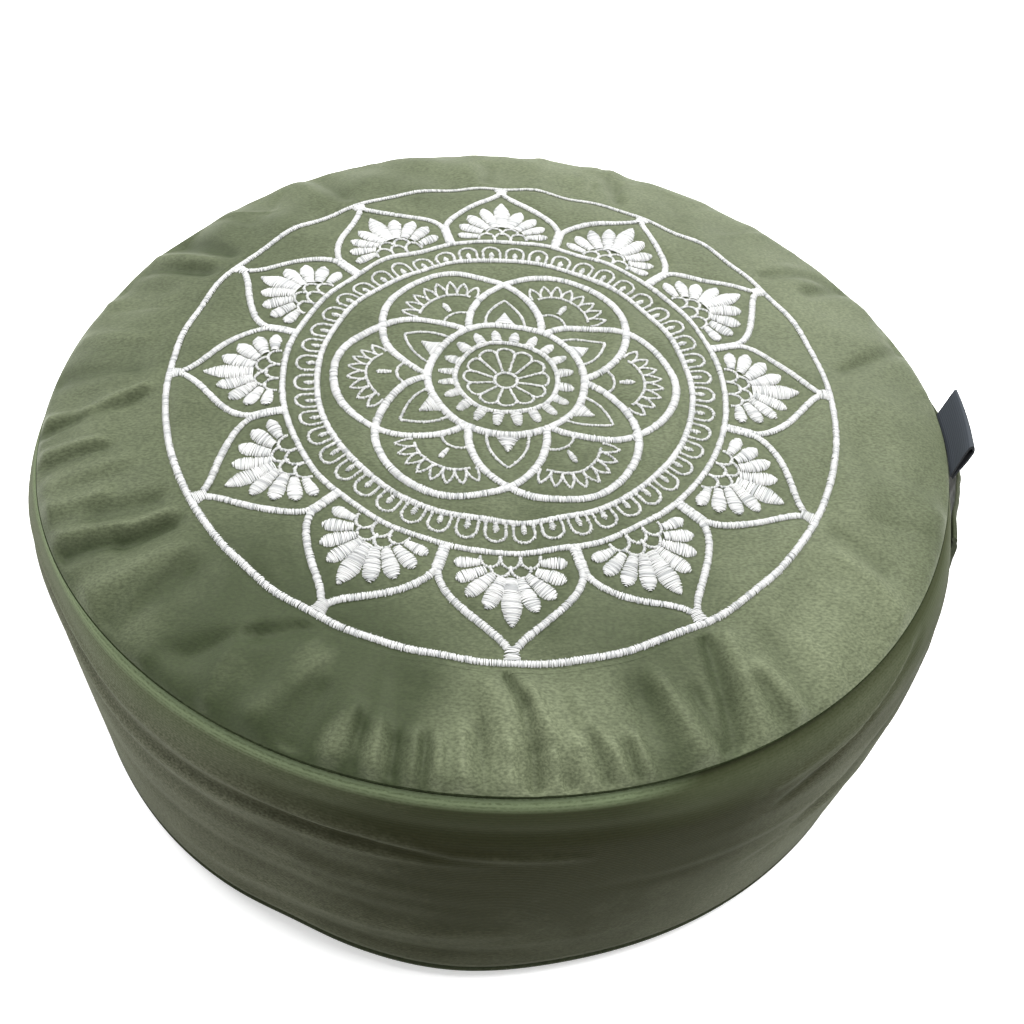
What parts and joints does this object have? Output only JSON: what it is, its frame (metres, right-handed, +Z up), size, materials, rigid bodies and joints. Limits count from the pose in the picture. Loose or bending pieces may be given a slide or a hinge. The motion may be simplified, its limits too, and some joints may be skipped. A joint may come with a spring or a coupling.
{
  "type": "meditation cushion",
  "caption": "Low round floor cushion: a firmly filled velvet drum with a crowned, embroidered top, sewn seams, a side carry strap and a small folded side label",
  "frame": {"origin": "on the floor, at the middle of the flat resting face under the drum", "axes": "+Z is up through the middle of the top; -Y is the front that the picture looks at; +X is the side with the carry strap and the folded label"},
  "size_m": [0.421, 0.3932, 0.1636],
  "materials": {
    "velvet": "soft short pile, sage green",
    "strap_velvet": "soft short pile, sage green, folded double",
    "label_ribbon": "smooth woven ribbon, dark slate",
    "embroidery_thread": "satin-stitched thread, off-white, slight sheen"
  },
  "bodies": {
    "root": {"cushion": "velvet", "carry_handle": "strap_velvet", "side_label": "label_ribbon"}
  },
  "joints": []
}
